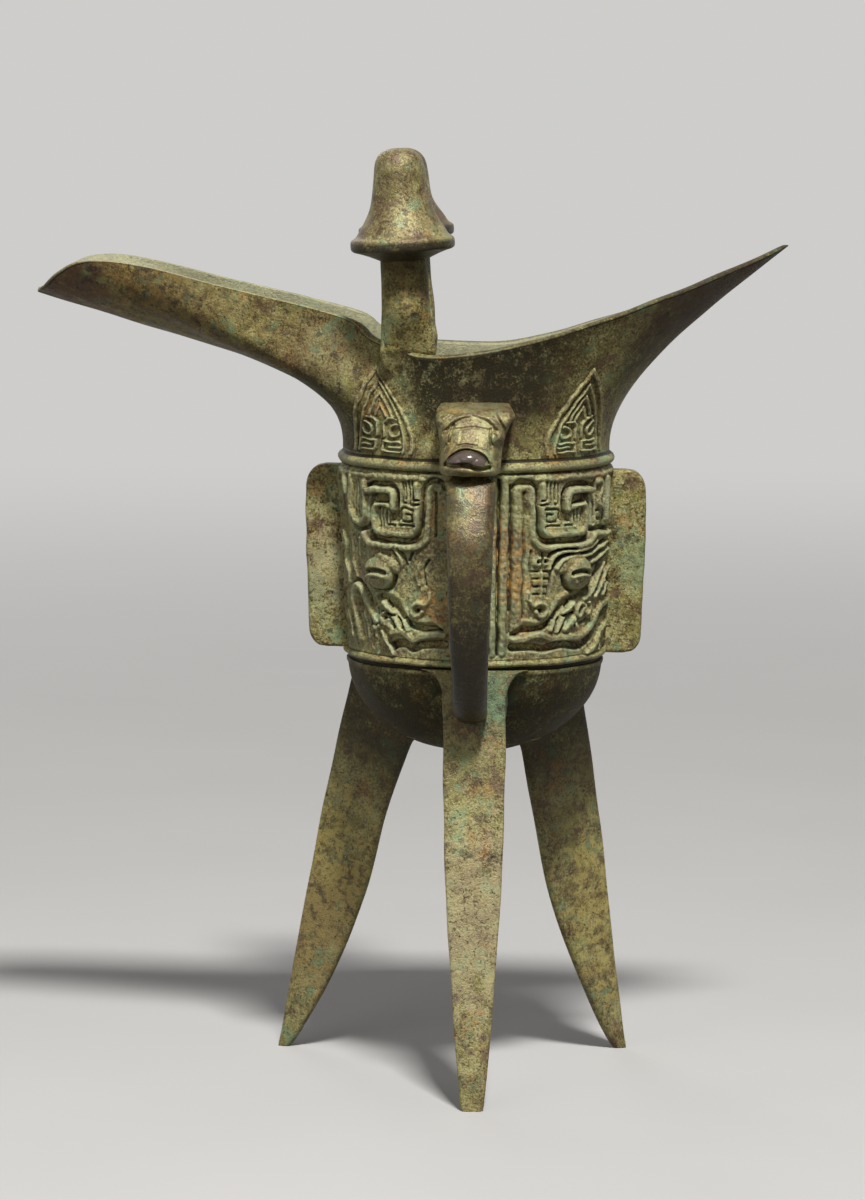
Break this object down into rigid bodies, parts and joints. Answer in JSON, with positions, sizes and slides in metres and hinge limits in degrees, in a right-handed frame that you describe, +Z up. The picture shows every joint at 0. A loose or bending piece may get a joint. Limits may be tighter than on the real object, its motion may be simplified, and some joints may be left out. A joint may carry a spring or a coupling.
{
  "type": "tripod libation cup",
  "caption": "Footed bronze pouring cup with a long trough spout, a pointed tail, capped posts on the rim and a loop handle.",
  "frame": {"origin": "on the surface it stands on, under the middle of its overall box; the cup's own axis stands 15.0 mm towards +X and 5.7 mm towards +Y of it", "axes": "+Z up, -X towards the spout's lip, +X towards the tail's tip, -Y towards the handle"},
  "size_m": [0.1732, 0.0902, 0.2157],
  "materials": {
    "patinated_bronze": "satin",
    "handled_bronze": "satin",
    "spacer_bronze": "matte",
    "casting_clay": "matte"
  },
  "bodies": {
    "root": {"vessel_body": "patinated_bronze", "leg_handle_side": "patinated_bronze", "leg_tail_side": "patinated_bronze", "leg_spout_side": "patinated_bronze", "handle_strap": "handled_bronze", "handle_head": "handled_bronze", "handle_head_clay_core": "casting_clay", "post_front": "patinated_bronze", "post_cap_front": "handled_bronze", "post_cap_clay_core_front": "casting_clay", "post_back": "patinated_bronze", "post_cap_back": "handled_bronze", "post_cap_clay_core_back": "casting_clay", "flange_under_spout": "patinated_bronze", "flange_under_tail": "patinated_bronze", "flange_opposite_handle": "patinated_bronze", "wall_spacer_front_tail": "spacer_bronze", "wall_spacer_back": "spacer_bronze", "wall_spacer_front_spout": "spacer_bronze"}
  },
  "joints": []
}
